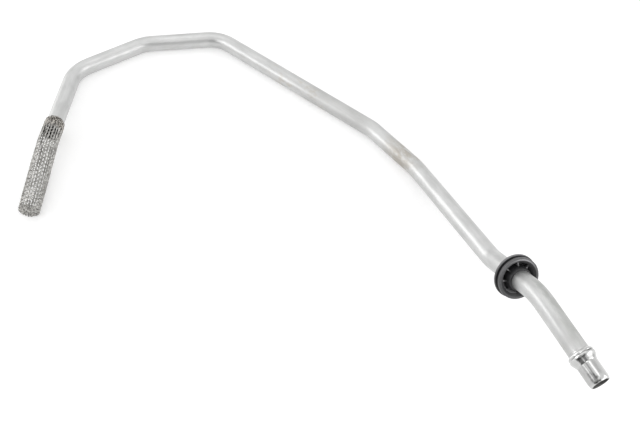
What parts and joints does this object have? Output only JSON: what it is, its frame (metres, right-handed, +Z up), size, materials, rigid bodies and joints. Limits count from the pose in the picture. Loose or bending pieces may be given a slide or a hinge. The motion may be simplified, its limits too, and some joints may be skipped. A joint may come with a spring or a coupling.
{
  "type": "oil pump pipe",
  "caption": "Bent metal oil pipe with a beaded hose spigot at one end, a ribbed rubber sealing grommet near it and a closed knitted wire strainer sock over the other end",
  "frame": {"origin": "centre of the footprint, on the surface the pipe lies on", "axes": "+X along the longest extent with the hose spigot at the +X end, +Y towards the bends of the flat middle run, +Z up as it lies"},
  "size_m": [0.5846, 0.2924, 0.0714],
  "materials": {
    "satin_metal": "satin, drawn",
    "knitted_wire": "fine knitted wire",
    "black_rubber": "matt moulded"
  },
  "bodies": {
    "root": {"pipe": "satin_metal", "strainer_sock": "knitted_wire", "rubber_grommet": "black_rubber"}
  },
  "joints": []
}
